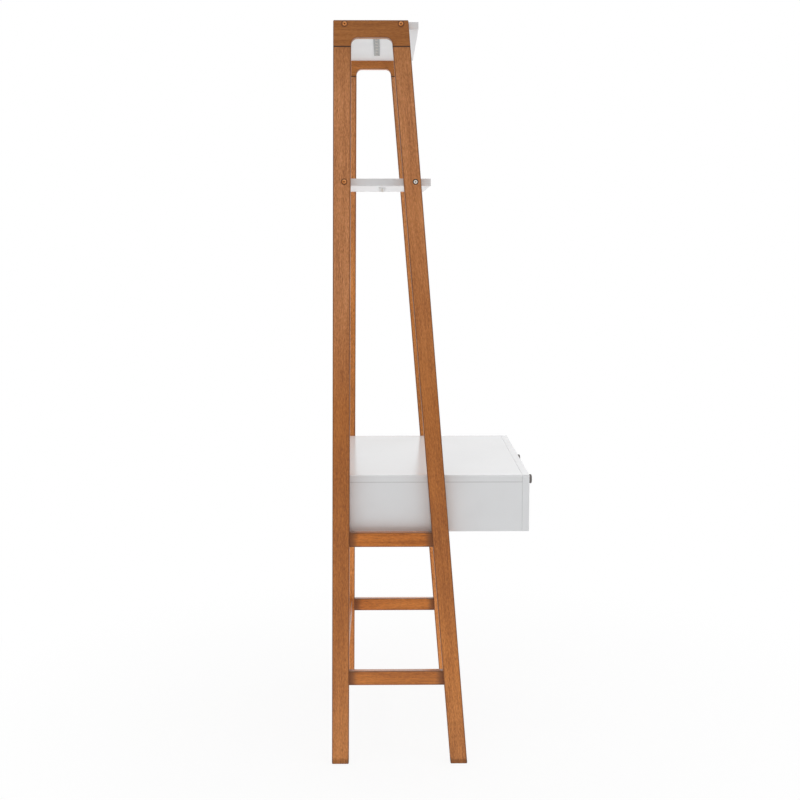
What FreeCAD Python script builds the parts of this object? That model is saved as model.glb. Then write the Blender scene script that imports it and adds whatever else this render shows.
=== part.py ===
import FreeCAD, Part
import math
import os
import Sketcher
from FreeCAD import Placement, Rotation, Vector

# A ladder desk: two tapered side frames carry a desk box with one wide drawer and two open shelves.
# Millimetres, +Z up, the front faces -Y, and the origin is on the floor under the middle of the desk.

SIZES = [
    # Side frames
    ("total_height", 1905, "floor to the top of the side frames"),
    ("overall_width", 711, "outer face to outer face of the side frames"),
    ("leg_width", 44, "front to back across a leg"),
    ("leg_thickness", 32, "side to side through a leg and its arch"),
    ("rear_leg_lean", 14, "how far the rear foot stands behind the top of the rear leg"),
    ("foot_depth", 355, "back of the rear foot to the front of the front foot"),
    ("top_depth", 185, "back to front of the frame at the top"),
    ("arch_height", 64, "top of the frame down to the seam with the legs"),
    ("arch_rail", 42, "height of the arch over its opening"),
    ("arch_radius", 16, "inner corners of the arch"),
    ("frame_edge_radius", 2.5, "eased edges of the frame's wood"),
    ("rail_height", 38, "desk rail, foot rail and stretcher"),
    ("rail_thickness", 18, "desk rail, foot rail and stretcher"),
    ("rail_edge_radius", 2, "eased edges of the rails"),
    ("foot_rail_top", 249, "floor to the top of the foot rail and stretcher"),
    ("desk_rail_top", 617, "floor to the top of the desk rail"),
    ("frame_dowel_radius", 4, "dowels in the frames and the stretcher"),
    ("seam_dowel_length", 50, "dowel between a leg and the arch"),
    ("rail_dowel_length", 30, "dowel between a rail and a leg"),
    ("dowel_spacing", 20, "between the two dowels of a frame joint"),
    # Stretcher fixings
    ("stretcher_setback", 7, "front of the rear leg to the front of the stretcher"),
    ("stretcher_dowel_length", 24, "half in the leg and half in the stretcher"),
    ("stretcher_fixing_spacing", 18, "between the dowel and the cam bolt"),
    ("cam_radius", 7.5, "cam drum in the back of the stretcher"),
    ("cam_depth", 12.5, "depth of the cam drum"),
    ("cam_reach", 24, "end of the stretcher to the middle of the cam"),
    ("cam_bolt_radius", 3.5, "cam bolt"),
    ("cam_bolt_in_leg", 11, "how far the cam bolt is screwed into the leg"),
    # Shelves
    ("board_thickness", 18, "shelves and desk top"),
    ("board_edge_radius", 0.6, "eased edges of the white boards"),
    ("shelf_overhang", 25, "shelf front past the front of the frame"),
    ("middle_shelf_drop", 385, "top of the frame down to the top of the middle shelf"),
    ("bar_length", 366, "steel bar under a shelf"),
    ("bar_width", 16, "steel bar under a shelf"),
    ("bar_thickness", 3, "steel bar under a shelf"),
    ("bar_screw_pitch", 62, "between the screws of a bar"),
    ("rear_bolt_inset", 28, "back of the frame to the rear shelf bolts"),
    ("top_bolt_inset", 19, "front of the arch to the front bolt of the top shelf"),
    ("middle_bolt_inset", 14, "front of the leg to the front bolt of the middle shelf"),
    ("bolt_radius", 3, "thread of the shelf bolts and desk bolts"),
    ("bolt_head_radius", 6.3, "copper-toned head of a shelf bolt"),
    ("bolt_head_height", 3.6, "copper-toned head of a shelf bolt"),
    ("bolt_head_round", 2.6, "domed rim of a shelf bolt's head"),
    ("plain_head_radius", 4.8, "head of the plain zinc bolt"),
    ("plain_head_height", 2.4, "head of the plain zinc bolt"),
    ("plain_head_round", 0.8, "rim of the plain zinc bolt's head"),
    ("socket_radius", 2.3, "hexagon socket in a bolt's head, across its corners"),
    ("socket_depth", 1.8, "hexagon socket in a bolt's head"),
    ("counterbore_radius", 6.6, "recess for a shelf bolt's head"),
    ("counterbore_depth", 2.6, "recess for a shelf bolt's head"),
    ("bolt_grip", 18, "how far a shelf bolt runs into the shelf"),
    ("shelf_insert_radius", 4.5, "threaded insert in the end of a shelf"),
    ("shelf_insert_length", 20, "threaded insert in the end of a shelf"),
    # Desk box
    ("desk_height", 762, "floor to the desk top"),
    ("desk_box_height", 148, "desk top to the underside of the box"),
    ("desk_depth", 508, "back of the box to the face of the drawer front"),
    ("case_side_thickness", 15, "side panels of the box"),
    ("case_back_thickness", 12, "back panel of the box"),
    ("case_bottom_thickness", 12, "bottom panel of the box"),
    ("case_dowel_radius", 3, "dowels of the box"),
    ("case_dowel_length", 24, "dowels of the box"),
    ("case_dowel_inset", 45, "corner of the box to its first dowel"),
    ("desk_bolt_low", 30, "underside of the box to the lower desk bolts"),
    ("desk_bolt_high", 110, "underside of the box to the upper desk bolts"),
    ("desk_bolt_head_radius", 7, "flat head of a desk bolt"),
    ("desk_bolt_head_height", 2.5, "flat head of a desk bolt"),
    ("desk_bolt_grip", 14, "how far a desk bolt runs into the leg"),
    ("leg_insert_radius", 5, "threaded insert in a leg"),
    ("leg_insert_length", 16, "threaded insert in a leg"),
    # Drawer
    ("front_thickness", 18, "drawer front"),
    ("front_gap", 0.3, "between the drawer front and the box"),
    ("drawer_side_thickness", 12, "sides, back and inner front of the drawer"),
    ("drawer_height", 95, "sides of the drawer"),
    ("drawer_back_gap", 48, "back of the drawer to the back panel of the box"),
    ("drawer_lift", 8, "bottom panel of the box to the drawer sides"),
    ("drawer_edge_radius", 0.8, "eased edges of the drawer sides"),
    ("drawer_bottom_thickness", 5, "bottom of the drawer"),
    ("drawer_bottom_rise", 10, "lower edge of the drawer sides to its bottom"),
    ("groove_depth", 5, "groove that holds the drawer bottom"),
    ("drawer_dowel_length", 20, "dowels in the drawer's corners"),
    ("drawer_dowel_low", 30, "lower edge of the drawer sides to the lower dowels"),
    ("drawer_dowel_high", 78, "lower edge of the drawer sides to the upper dowels"),
    ("front_screw_inner", 80, "middle of the drawer to its inner front screws"),
    ("front_screw_inset", 44, "inside of a drawer side to the outer front screw"),
    ("front_screw_length", 26, "screws that hold the drawer front"),
    ("knob_reach", 24, "how far a knob stands out"),
    ("knob_radius", 12.5, "head of a knob"),
    ("knob_rim", 9, "thickness of a knob's head"),
    ("knob_round", 3, "rounded rim of a knob's head"),
    ("knob_stem_radius", 5.5, "stem of a knob"),
    ("knob_foot_radius", 8, "foot of a knob"),
    ("knob_foot_height", 2.5, "foot of a knob"),
    ("knob_spread", 156, "middle of the drawer front to a knob"),
    ("knob_drop", 42, "desk top to the middle of a knob"),
    ("knob_screw_radius", 2, "machine screw that holds a knob"),
    ("knob_screw_grip", 10, "how far the screw runs into the knob"),
    # Drawer slides
    ("slide_end_gap", 25.5, "back end of the slides to the back of the drawer"),
    ("slide_setback", 3, "front edge of the box to the slides"),
    ("slide_height", 45, "case channel"),
    ("slide_width", 12.7, "room for a slide between box and drawer"),
    ("slide_metal", 1.2, "steel of the channels"),
    ("slide_running_gap", 0.6, "between the flanges of neighbouring channels"),
    ("slide_web_gap", 2.8, "between the case channel's web and the middle channel's"),
    ("slide_tip_gap", 0.8, "between the drawer channel's flanges and the middle channel's web"),
    ("slide_open_edge", 2, "from the flanges of the outer two channels to the drawer side"),
    ("slide_screw_inset", 35, "end of a slide to its first screw"),
    # Wood screws
    ("screw_radius", 1.75, "shank of the wood screws"),
    ("screw_length", 10, "wood screws of the slides and bars"),
    ("screw_head_radius", 3.4, "head of the wood screws"),
    ("screw_head_height", 1.6, "head of the wood screws"),
    ("screw_head_round", 0.9, "domed rim of a screw's head"),
    ("recess_span", 3.8, "crossed slots in a screw's head, from end to end"),
    ("recess_slot", 0.9, "width of the crossed slots"),
    ("recess_depth", 0.9, "depth of the crossed slots"),
    ("fit_gap", 0.1, "clearance of dowels, bolts, inserts and screws in their holes"),
]

doc = FreeCAD.newDocument("ladder_desk")
sheet = doc.addObject("Spreadsheet::Sheet", "Sizes")
for row, (alias, number, meaning) in enumerate(SIZES, start=1):
    sheet.set(f"A{row}", meaning)
    sheet.set(f"B{row}", str(number))
    sheet.setAlias(f"B{row}", alias)
doc.recompute()


class Size:
    """A length worked out from the sheet, which adds up like a number and prints as an expression."""

    def __init__(self, text):
        self.text = str(text)

    def __str__(self):
        return self.text

    def __add__(self, other):
        return Size(f"({self} + {other})")

    def __radd__(self, other):
        return Size(f"({other} + {self})")

    def __sub__(self, other):
        return Size(f"({self} - {other})")

    def __rsub__(self, other):
        return Size(f"({other} - {self})")

    def __mul__(self, other):
        return Size(f"({self} * {other})")

    def __rmul__(self, other):
        return Size(f"({other} * {self})")

    def __truediv__(self, other):
        return Size(f"({self} / {other})")

    def __neg__(self):
        return Size(f"(-{self})")

    @property
    def value(self):
        return sheet.evalExpression(self.text)


def size(alias):
    return Size("Sizes." + alias)


zero = Size(0)


# The way a fastener points, as the turn that takes +Z to it.
TURNS = {
    "+x": Rotation(Vector(0, 1, 0), 90),
    "-x": Rotation(Vector(0, 1, 0), -90),
    "+y": Rotation(Vector(1, 0, 0), -90),
    "-y": Rotation(Vector(1, 0, 0), 90),
    "+z": Rotation(),
    "-z": Rotation(Vector(1, 0, 0), 180),
}

# Each side with its sign along X, the way out of the desk and the way in.
SIDES = (("left", -1, "-x", "+x"), ("right", 1, "+x", "-x"))
NEAR = 0.01
NODES = []


def bind(thing, **expressions):
    for name, expression in expressions.items():
        thing.setExpression(name, str(expression))


def seat(thing, spot):
    for axis, expression in zip("xyz", spot):
        thing.setExpression(f"Placement.Base.{axis}", str(expression))


def node(thing, label):
    """Keep a finished sub-part under its own label, which also names its file."""
    thing.Label = label
    NODES.append(thing)
    return thing


def edges_where(shape, wanted):
    return [f"Edge{index}" for index, edge in enumerate(shape.Edges, start=1) if wanted(edge)]


def every_edge(edge):
    return True


def at_level(edge, level):
    return all(abs(point.Point.z - level.value) < NEAR for point in edge.Vertexes)


def edge_span(edge):
    """How far an edge's ends lie apart along X, Y and Z."""
    span = edge.Vertexes[-1].Point - edge.Vertexes[0].Point
    return [abs(span.x), abs(span.y), abs(span.z)]


def runs_along_x(edge):
    return edge_span(edge)[0] == max(edge_span(edge))


def runs_along_y(edge):
    return edge_span(edge)[1] == max(edge_span(edge))


def ease(body, wanted, radius):
    """Round the wanted edges of the body so far."""
    base = body.Tip
    rounding = body.newObject("PartDesign::Fillet", body.Name + "_rounding")
    rounding.Base = (base, edges_where(base.Shape, wanted))
    bind(rounding, Radius=radius)
    doc.recompute()


def sketch_outline(body, role, corners):
    """A closed outline of straight lines whose corners are tied to the sheet."""
    plane = next(item for item in body.Origin.OriginFeatures if item.Role == role)
    sketch = body.newObject("Sketcher::SketchObject", body.Name + "_outline")
    sketch.AttachmentSupport = (plane, [""])
    sketch.MapMode = "FlatFace"
    spots = [Vector(across.value, up.value, 0) for across, up in corners]
    count = len(spots)
    for index in range(count):
        sketch.addGeometry(Part.LineSegment(spots[index], spots[(index + 1) % count]))
    for index in range(count):
        sketch.addConstraint(Sketcher.Constraint("Coincident", index, 2, (index + 1) % count, 1))
    for index, corner in enumerate(corners):
        for kind, length in zip(("DistanceX", "DistanceY"), corner):
            place = sketch.addConstraint(Sketcher.Constraint(kind, -1, 1, index, 1, length.value))
            sketch.setExpression(f"Constraints[{place}]", str(length))
    doc.recompute()
    return sketch


def plank(name, corners, low_x, thickness):
    """A flat piece sawn to an outline seen from the side, with its left face at low_x."""
    body = doc.addObject("PartDesign::Body", name)
    sketch = sketch_outline(body, "YZ_Plane", corners)
    pad = body.newObject("PartDesign::Pad", name + "_pad")
    pad.Profile = sketch
    bind(pad, Length=thickness)
    seat(body, (low_x, zero, zero))
    doc.recompute()
    return body


def board(name, low, high, edge_radius=None):
    """A rectangular board between two corners, with all its edges eased if a radius is given."""
    body = doc.addObject("PartDesign::Body", name)
    block = body.newObject("PartDesign::AdditiveBox", name + "_block")
    bind(block, Length=high[0] - low[0], Width=high[1] - low[1], Height=high[2] - low[2])
    seat(body, low)
    doc.recompute()
    if edge_radius is not None:
        ease(body, every_edge, edge_radius)
    return body


def turned(name, profile):
    """A round piece about Z, from an outline of radii and heights."""
    body = doc.addObject("PartDesign::Body", name)
    sketch = sketch_outline(body, "XZ_Plane", profile)
    lathe = body.newObject("PartDesign::Revolution", name + "_lathe")
    lathe.Profile = sketch
    lathe.ReferenceAxis = (sketch, ["V_Axis"])
    lathe.Angle = 360
    doc.recompute()
    return body


def rod(name, spot, way, radius, length):
    """A cylinder that starts at a spot and runs one way."""
    cylinder = doc.addObject("Part::Cylinder", name)
    bind(cylinder, Radius=radius, Height=length)
    cylinder.Placement = Placement(Vector(), TURNS[way])
    seat(cylinder, spot)
    return cylinder


def hole(spot, way, radius, length):
    """The bore for a round piece, wider and deeper than the piece by the fit."""
    return rod("bore", spot, way, radius + size("fit_gap"), length + size("fit_gap"))


def dowel(middle, axis, radius, length):
    """A dowel centred on a joint, and the bore that it sits in."""
    start = list(middle)
    index = "xyz".index(axis)
    start[index] = middle[index] - length / 2
    peg = rod("dowel", start, "+" + axis, radius, length)
    start[index] = start[index] - size("fit_gap")
    bore = rod("bore", start, "+" + axis, radius + size("fit_gap"), length + 2 * size("fit_gap"))
    return peg, bore


def joined(name, pieces):
    """Cutting tools gathered into one."""
    tool = doc.addObject("Part::MultiFuse", name)
    tool.Shapes = pieces
    tool.Refine = False
    doc.recompute()
    return tool


def bored(label, blank, tool):
    """A piece with its holes cut."""
    cut = doc.addObject("Part::Cut", label)
    cut.Base = blank
    cut.Tool = tool
    cut.Refine = False
    return node(cut, label)


def gathered(label, pieces):
    """Loose pieces that share a node."""
    group = doc.addObject("Part::Compound", label)
    group.Links = pieces
    return node(group, label)


def copies(label, pattern, places):
    """The same fastener at several places, as separate solids in one node."""
    links = []
    for spot, way in places:
        link = doc.addObject("App::Link", pattern.Name + "_copy")
        link.LinkedObject = pattern
        link.Placement = Placement(Vector(), TURNS[way])
        seat(link, spot)
        links.append(link)
    return gathered(label, links)


def with_socket(name, blank, face_level):
    """A head with a hexagon socket sunk from its face, which looks down -Z."""
    socket = doc.addObject("Part::Prism", name + "_socket")
    socket.Polygon = 6
    bind(socket, Circumradius=size("socket_radius"), Height=size("socket_depth") * 2)
    seat(socket, (zero, zero, face_level - size("socket_depth")))
    cut = doc.addObject("Part::Cut", name)
    cut.Base = blank
    cut.Tool = socket
    doc.recompute()
    return cut


def headed(name, head_radius, head_height, shank_radius, shank_length):
    """A round head on a round shank, with the head's seat at z = 0 and the shank towards +Z."""
    return turned(name, [
        (zero, -head_height),
        (head_radius, -head_height),
        (head_radius, zero),
        (shank_radius, zero),
        (shank_radius, shank_length),
        (zero, shank_length),
    ])


def screw(name, radius, length):
    """A screw with a domed head and crossed slots in it."""
    head_height = size("screw_head_height")
    blank = headed(name + "_blank", size("screw_head_radius"), head_height, radius, length)
    ease(blank, lambda edge: edge.Closed and at_level(edge, -head_height), size("screw_head_round"))
    depth = size("recess_depth")
    long_half = size("recess_span") / 2
    short_half = size("recess_slot") / 2
    slots = [
        board(name + "_slot", (-reach, -width, -head_height - depth), (reach, width, depth - head_height))
        for reach, width in ((long_half, short_half), (short_half, long_half))
    ]
    cut = doc.addObject("Part::Cut", name)
    cut.Base = blank
    cut.Tool = joined(name + "_slots", slots)
    doc.recompute()
    return cut


def threaded_insert(name, radius, length):
    """A sleeve that takes a bolt."""
    thread = size("bolt_radius") + size("fit_gap")
    return turned(name, [(thread, zero), (radius, zero), (radius, length), (thread, length)])


def shelf_bolt(name, head_radius, head_height, head_round):
    """A bolt that runs through the frame into a shelf, with a rounded rim to its head."""
    reach = size("leg_thickness") - size("counterbore_depth") + size("bolt_grip")
    blank = headed(name + "_blank", head_radius, head_height, size("bolt_radius"), reach)
    ease(blank, lambda edge: edge.Closed and at_level(edge, -head_height), head_round)
    return with_socket(name, blank, -head_height)


# Levels and the lines of the legs, as seen from the side

top = size("total_height")
seam = top - size("arch_height")
arch_underside = top - size("arch_rail")
half_width = size("overall_width") / 2
inner_half = half_width - size("leg_thickness")
leg_middle = half_width - size("leg_thickness") / 2
desk_top_level = size("desk_height")
desk_set_in = size("rear_leg_lean") * desk_top_level / top
rear_foot = (desk_set_in + size("desk_depth") + size("knob_reach")) / 2


def rear_leg_back(level):
    return rear_foot - size("rear_leg_lean") * level / top


def rear_leg_front(level):
    return rear_leg_back(level) - size("leg_width")


def front_leg_front(level):
    slope = (size("foot_depth") - size("rear_leg_lean") - size("top_depth")) / top
    return rear_foot - size("foot_depth") + slope * level


def front_leg_back(level):
    return front_leg_front(level) + size("leg_width")


def rear_leg_middle(level):
    return rear_leg_back(level) - size("leg_width") / 2


def front_leg_middle(level):
    return front_leg_front(level) + size("leg_width") / 2


middle_shelf_top = top - size("middle_shelf_drop")
middle_shelf_middle = middle_shelf_top - size("board_thickness") / 2
top_shelf_middle = top - size("board_thickness") / 2
box_underside = desk_top_level - size("desk_box_height")
foot_rail_middle = size("foot_rail_top") - size("rail_height") / 2

# Shelf bolts: each is a level and a place from back to front

shelf_bolt_spots = [
    (rear_leg_back(top_shelf_middle) - size("rear_bolt_inset"), top_shelf_middle),
    (front_leg_front(top_shelf_middle) + size("top_bolt_inset"), top_shelf_middle),
    (rear_leg_back(middle_shelf_middle) - size("rear_bolt_inset"), middle_shelf_middle),
    (front_leg_front(middle_shelf_middle) + size("middle_bolt_inset"), middle_shelf_middle),
]
desk_bolt_spots = [
    (leg(box_underside + size(height)), box_underside + size(height))
    for leg in (rear_leg_middle, front_leg_middle)
    for height in ("desk_bolt_low", "desk_bolt_high")
]
stretcher_dowel_level = foot_rail_middle + size("stretcher_fixing_spacing") / 2
cam_bolt_level = foot_rail_middle - size("stretcher_fixing_spacing") / 2
stretcher_line = rear_leg_front(foot_rail_middle) + size("stretcher_setback") + size("rail_thickness") / 2
cam_bolt_length = size("cam_bolt_in_leg") + size("cam_reach") - size("cam_radius") - size("fit_gap")

# Side frames


def off_the_seam(edge):
    return not at_level(edge, seam)


def arch_inner_corner(edge):
    return runs_along_x(edge) and at_level(edge, arch_underside)


def arch_outline(edge):
    return off_the_seam(edge) and (not runs_along_x(edge) or at_level(edge, top))


stretcher_dowels = []
stretcher_bores = []
cam_bolts = []
for side, sign, outward, inward in SIDES:
    leg_low = half_width * sign - size("leg_thickness") * ((1 + sign) / 2)
    rail_low = leg_middle * sign - size("rail_thickness") / 2
    line = leg_middle * sign
    inner_face = inner_half * sign
    outer_face = half_width * sign
    tag = side + "_"

    blanks = {}
    for leg, back, front in (
        ("rear_leg", rear_leg_back, rear_leg_front),
        ("front_leg", front_leg_back, front_leg_front),
    ):
        outline = [(back(zero), zero), (front(zero), zero), (front(seam), seam), (back(seam), seam)]
        blanks[leg] = plank(tag + leg + "_blank", outline, leg_low, size("leg_thickness"))
        ease(blanks[leg], off_the_seam, size("frame_edge_radius"))

    outline = [
        (rear_leg_back(seam), seam),
        (rear_leg_front(seam), seam),
        (rear_leg_front(arch_underside), arch_underside),
        (front_leg_back(arch_underside), arch_underside),
        (front_leg_back(seam), seam),
        (front_leg_front(seam), seam),
        (front_leg_front(top), top),
        (rear_leg_back(top), top),
    ]
    blanks["top_arch"] = plank(tag + "arch_blank", outline, leg_low, size("leg_thickness"))
    ease(blanks["top_arch"], arch_inner_corner, size("arch_radius"))
    ease(blanks["top_arch"], arch_outline, size("frame_edge_radius"))

    pegs = []
    bores = []
    for rail, rail_top in (("desk_rail", size("desk_rail_top")), ("foot_rail", size("foot_rail_top"))):
        low = rail_top - size("rail_height")
        outline = [
            (rear_leg_front(low), low),
            (front_leg_back(low), low),
            (front_leg_back(rail_top), rail_top),
            (rear_leg_front(rail_top), rail_top),
        ]
        blanks[rail] = plank(tag + rail + "_blank", outline, rail_low, size("rail_thickness"))
        ease(blanks[rail], runs_along_y, size("rail_edge_radius"))
        for step in (-0.5, 0.5):
            level = rail_top - size("rail_height") / 2 + size("dowel_spacing") * step
            for face in (rear_leg_front(level), front_leg_back(level)):
                spot = (line, face, level)
                peg, bore = dowel(spot, "y", size("frame_dowel_radius"), size("rail_dowel_length"))
                pegs.append(peg)
                bores.append(bore)
    for middle in (rear_leg_middle(seam), front_leg_middle(seam)):
        for step in (-0.5, 0.5):
            spot = (line, middle + size("dowel_spacing") * step, seam)
            peg, bore = dowel(spot, "z", size("frame_dowel_radius"), size("seam_dowel_length"))
            pegs.append(peg)
            bores.append(bore)
    gathered(tag + "frame_dowels", pegs)

    for depth, level in shelf_bolt_spots:
        bores.append(rod("bore", (outer_face, depth, level), inward, size("counterbore_radius"),
                         size("counterbore_depth")))
        bores.append(rod("bore", (outer_face, depth, level), inward, size("bolt_radius") + size("fit_gap"),
                         size("leg_thickness")))
    for depth, level in desk_bolt_spots:
        bores.append(hole((inner_face, depth, level), outward, size("leg_insert_radius"),
                          size("leg_insert_length")))
    spot = (inner_face, stretcher_line, stretcher_dowel_level)
    peg, bore = dowel(spot, "x", size("frame_dowel_radius"), size("stretcher_dowel_length"))
    stretcher_dowels.append(peg)
    bores.append(bore)
    start = (inner_face + size("cam_bolt_in_leg") * sign, stretcher_line, cam_bolt_level)
    cam_bolts.append(rod("cam_bolt", start, inward, size("cam_bolt_radius"), cam_bolt_length))
    start = (inner_face + (size("cam_bolt_in_leg") + size("fit_gap")) * sign, stretcher_line, cam_bolt_level)
    passage = rod("bore", start, inward, size("cam_bolt_radius") + size("fit_gap"),
                  size("cam_bolt_in_leg") + size("cam_reach"))
    bores.append(passage)
    cam_back = (
        (inner_half - size("cam_reach")) * sign,
        stretcher_line + size("rail_thickness") / 2,
        cam_bolt_level,
    )
    stretcher_bores += [bore, passage, hole(cam_back, "-y", size("cam_radius"), size("cam_depth"))]

    tool = joined(tag + "frame_bores", bores)
    for piece, blank in blanks.items():
        bored(tag + piece, blank, tool)

# Rear stretcher and its fixings

low = (-inner_half, stretcher_line - size("rail_thickness") / 2, size("foot_rail_top") - size("rail_height"))
high = (inner_half, stretcher_line + size("rail_thickness") / 2, size("foot_rail_top"))
blank = board("stretcher_blank", low, high)
ease(blank, runs_along_x, size("rail_edge_radius"))
bored("rear_stretcher", blank, joined("stretcher_bores", stretcher_bores))
gathered("stretcher_dowels", stretcher_dowels)
gathered("stretcher_cam_bolts", cam_bolts)

drum = rod("cam_blank", (zero, zero, zero), "+z", size("cam_radius"), size("cam_depth"))
cam = with_socket("cam_pattern", drum, zero)
copies("stretcher_cams", cam, [
    ((
        (inner_half - size("cam_reach")) * sign,
        stretcher_line + size("rail_thickness") / 2,
        cam_bolt_level,
    ), "-y")
    for side, sign, outward, inward in SIDES
])

# Shelves, with their bars, bolts and inserts

wood_screw = screw("wood_screw", size("screw_radius"), size("screw_length"))

shelf_bores = []
insert_places = []
for depth, level in shelf_bolt_spots:
    for side, sign, outward, inward in SIDES:
        spot = (inner_half * sign, depth, level)
        insert_places.append((spot, inward))
        shelf_bores.append(hole(spot, inward, size("shelf_insert_radius"), size("shelf_insert_length")))

bar_screws = []
shelf_blanks = []
bars = []
for name, level in (("top_shelf", top), ("middle_shelf", middle_shelf_top)):
    middle_level = level - size("board_thickness") / 2
    underside = level - size("board_thickness")
    back = rear_leg_back(middle_level)
    front = front_leg_front(middle_level) - size("shelf_overhang")
    shelf_blanks.append((name, board(name + "_blank", (-inner_half, front, underside),
                                     (inner_half, back, level), size("board_edge_radius"))))
    bar_line = (back + front) / 2
    bar_low = underside - size("bar_thickness")
    bars.append((name + "_bar", board(
        name + "_bar_blank",
        (-size("bar_length") / 2, bar_line - size("bar_width") / 2, bar_low),
        (size("bar_length") / 2, bar_line + size("bar_width") / 2, underside),
    )))
    for step in (-2.5, -1.5, -0.5, 0.5, 1.5, 2.5):
        spot = (size("bar_screw_pitch") * step, bar_line, bar_low)
        bar_screws.append((spot, "+z"))
        shelf_bores.append(hole(spot, "+z", size("screw_radius"), size("screw_length")))
shelf_tool = joined("shelf_bores", shelf_bores)
for name, blank in shelf_blanks + bars:
    bored(name, blank, shelf_tool)
copies("shelf_bar_screws", wood_screw, bar_screws)

sleeve = threaded_insert("shelf_insert", size("shelf_insert_radius"), size("shelf_insert_length"))
copies("shelf_inserts", sleeve, insert_places)

copper_bolt = shelf_bolt(
    "copper_bolt", size("bolt_head_radius"), size("bolt_head_height"), size("bolt_head_round"),
)
zinc_bolt = shelf_bolt(
    "zinc_bolt", size("plain_head_radius"), size("plain_head_height"), size("plain_head_round"),
)
bolt_places = [
    (((half_width - size("counterbore_depth")) * sign, depth, level), inward)
    for side, sign, outward, inward in SIDES
    for depth, level in shelf_bolt_spots
]
plain_place = bolt_places[len(shelf_bolt_spots) - 1]
copies("shelf_bolts", copper_bolt, [place for place in bolt_places if place is not plain_place])
copies("plain_shelf_bolt", zinc_bolt, [plain_place])

# Desk box

desk_back = rear_leg_back(desk_top_level)
desk_face = desk_back - size("desk_depth")
front_rear_face = desk_face + size("front_thickness")
case_front = front_rear_face + size("front_gap")
top_underside = desk_top_level - size("board_thickness")
case_inner = inner_half - size("case_side_thickness")
bottom_level = box_underside + size("case_bottom_thickness")
back_panel_face = desk_back - size("case_back_thickness")
drawer_low = bottom_level + size("drawer_lift")
drawer_middle = drawer_low + size("drawer_height") / 2
drawer_back = back_panel_face - size("drawer_back_gap")
slide_front = case_front + size("slide_setback")
slide_back = drawer_back - size("slide_end_gap")
slide_length = slide_back - slide_front
slide_screw_lines = [
    slide_front + size("slide_screw_inset"),
    (slide_front + slide_back) / 2,
    slide_back - size("slide_screw_inset"),
]

case_pegs = []
case_bores = []
desk_bolt_places = []
leg_insert_places = []
case_screw_places = []
for side, sign, outward, inward in SIDES:
    panel_line = (case_inner + size("case_side_thickness") / 2) * sign
    inner_face = case_inner * sign
    long_spots = [
        case_front + size("case_dowel_inset"),
        (case_front + back_panel_face) / 2,
        back_panel_face - size("case_dowel_inset"),
    ]
    bottom_line = box_underside + size("case_bottom_thickness") / 2
    back_line = desk_back - size("case_back_thickness") / 2
    back_levels = (box_underside + size("case_dowel_inset"), top_underside - size("case_dowel_inset"))
    joints = [((panel_line, depth, top_underside), "z") for depth in long_spots]
    joints += [((inner_face, depth, bottom_line), "x") for depth in long_spots]
    joints += [((inner_face, back_line, level), "x") for level in back_levels]
    for spot, axis in joints:
        peg, bore = dowel(spot, axis, size("case_dowel_radius"), size("case_dowel_length"))
        case_pegs.append(peg)
        case_bores.append(bore)
    for depth, level in desk_bolt_spots:
        desk_bolt_places.append(((inner_face, depth, level), outward))
        leg_insert_places.append(((inner_half * sign, depth, level), outward))
        case_bores.append(hole((inner_face, depth, level), outward, size("bolt_radius"),
                               size("case_side_thickness")))
    for depth in slide_screw_lines:
        spot = ((case_inner - size("slide_metal")) * sign, depth, drawer_middle)
        case_screw_places.append((spot, outward))
        case_bores.append(hole(spot, outward, size("screw_radius"), size("screw_length")))

case_tool = joined("case_bores", case_bores)
eased = size("board_edge_radius")
across_frames = (-inner_half, inner_half)
across_case = (-case_inner, case_inner)
case_depth = (case_front, desk_back)
side_levels = (box_underside, top_underside)
case_boards = [
    ("desk_top", across_frames, case_depth, (top_underside, desk_top_level), eased),
    ("desk_left_side", (-inner_half, -case_inner), case_depth, side_levels, eased),
    ("desk_right_side", (case_inner, inner_half), case_depth, side_levels, eased),
    ("desk_back", across_case, (back_panel_face, desk_back), side_levels, None),
    ("desk_bottom", across_case, (case_front, back_panel_face), (box_underside, bottom_level), None),
]
for name, across, depth, levels, radius in case_boards:
    bored(name, board(name + "_blank", *zip(across, depth, levels), radius), case_tool)
gathered("desk_dowels", case_pegs)

reach = size("case_side_thickness") + size("desk_bolt_grip")
head_height = size("desk_bolt_head_height")
blank = headed("desk_bolt_blank", size("desk_bolt_head_radius"), head_height, size("bolt_radius"), reach)
copies("desk_bolts", with_socket("desk_bolt", blank, -head_height), desk_bolt_places)
sleeve = threaded_insert("leg_insert", size("leg_insert_radius"), size("leg_insert_length"))
copies("leg_inserts", sleeve, leg_insert_places)

# Drawer

drawer_half = case_inner - size("slide_width")
drawer_inner = drawer_half - size("drawer_side_thickness")
inner_front_face = front_rear_face + size("drawer_side_thickness")
back_inner_face = drawer_back - size("drawer_side_thickness")
drawer_top = drawer_low + size("drawer_height")
knob_level = desk_top_level - size("knob_drop")
floor_low = drawer_low + size("drawer_bottom_rise")
floor_high = floor_low + size("drawer_bottom_thickness")

drawer_pegs = []
drawer_bores = []
drawer_screw_places = []
for side, sign, outward, inward in SIDES:
    for depth in ((front_rear_face + inner_front_face) / 2, (back_inner_face + drawer_back) / 2):
        for height in ("drawer_dowel_low", "drawer_dowel_high"):
            spot = (drawer_inner * sign, depth, drawer_low + size(height))
            peg, bore = dowel(spot, "x", size("case_dowel_radius"), size("drawer_dowel_length"))
            drawer_pegs.append(peg)
            drawer_bores.append(bore)
    for depth in slide_screw_lines:
        spot = ((drawer_half + size("slide_metal")) * sign, depth, drawer_middle)
        drawer_screw_places.append((spot, inward))
        drawer_bores.append(hole(spot, inward, size("screw_radius"), size("screw_length")))

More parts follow.
